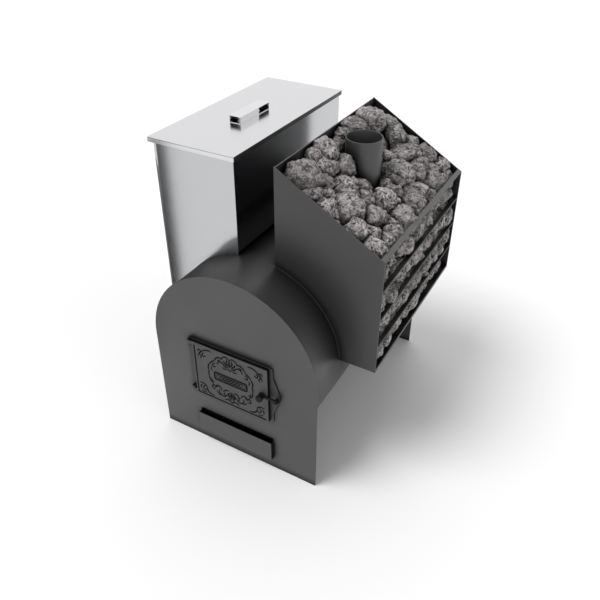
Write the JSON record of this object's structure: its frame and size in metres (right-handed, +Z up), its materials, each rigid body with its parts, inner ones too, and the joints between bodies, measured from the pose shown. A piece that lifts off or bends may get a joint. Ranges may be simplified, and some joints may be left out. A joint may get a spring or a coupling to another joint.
{
  "type": "sauna heater stove",
  "caption": "Wood-fired sauna stove with round-topped firebox, cast fire door, ash drawer, straddling hot-water tank and a side basket of stones round the flue.",
  "frame": {"origin": "on the floor, midway between the outermost faces left and right and front and back", "axes": "+X to the right seen from the front, from the tank to the stone basket; +Y from the fire door to the back plate; +Z up"},
  "size_m": [0.783, 0.8932, 1.048],
  "materials": {
    "body_paint": "satin heat-resistant dark grey paint",
    "basket_paint": "satin heat-resistant dark grey paint",
    "cast_iron": "fine sand-cast surface, dark grey paint",
    "bare_steel": "unpainted mill-finish steel, heat-tinted",
    "stainless": "satin stainless sheet",
    "stainless_bright": "polished stainless",
    "knob_black": "smooth black",
    "sauna_stone": "rough mottled grey volcanic rock"
  },
  "bodies": {
    "stove": {"front_plate": "body_paint", "back_plate": "body_paint", "firebox_shell": "body_paint", "hearth_plate": "bare_steel", "fire_grate": "cast_iron", "smoke_baffle": "bare_steel", "ash_channel": "basket_paint", "flue_pipe": "body_paint", "door_frame": "cast_iron", "door_frame_bolts": "cast_iron", "door_frame_nuts": "cast_iron", "door_hinge_pins": "bare_steel", "latch_catch": "cast_iron", "tank_walls": "stainless", "tank_saddle": "stainless", "tank_rests": "basket_paint", "tank_drain_socket": "stainless", "basket_front_plate": "basket_paint", "basket_rear_plate": "basket_paint", "basket_inner_wall": "basket_paint", "basket_floor": "basket_paint", "basket_top_rail": "basket_paint", "basket_slats": "basket_paint", "stones_front": "sauna_stone", "stones_rear": "sauna_stone", "stones_by_flue": "sauna_stone", "stones_outer_low": "sauna_stone", "stones_outer_top": "sauna_stone"},
    "door": {"door_leaf": "cast_iron", "door_heat_shield": "bare_steel", "shield_screws": "bare_steel"},
    "latch": {"latch_lever": "cast_iron", "latch_knob": "knob_black", "latch_nut": "cast_iron"},
    "drawer": {"ash_drawer_pan": "bare_steel", "ash_drawer_front": "body_paint"},
    "lid": {"tank_lid": "stainless", "lid_handle": "stainless_bright", "lid_rivets": "stainless_bright"}
  },
  "joints": [
    {"name": "fire_door_hinge", "type": "hinge", "parent": "stove", "child": "door", "pos_m": [-0.1765, -0.41275, 0.334], "axis": [0, 0, -1], "range_deg": [0, 120]},
    {"name": "latch_lift", "type": "hinge", "parent": "door", "child": "latch", "pos_m": [0.0945, -0.42045, 0.334], "axis": [0, -1, 0], "range_deg": [0, 60]},
    {"name": "ash_drawer_slide", "type": "slide", "parent": "stove", "child": "drawer", "axis": [0, -1, 0], "range_m": [0, 0.45]},
    {"name": "tank_lid_lift", "type": "slide", "parent": "stove", "child": "lid", "axis": [0, 0, 1], "range_m": [0, 0.3]}
  ]
}
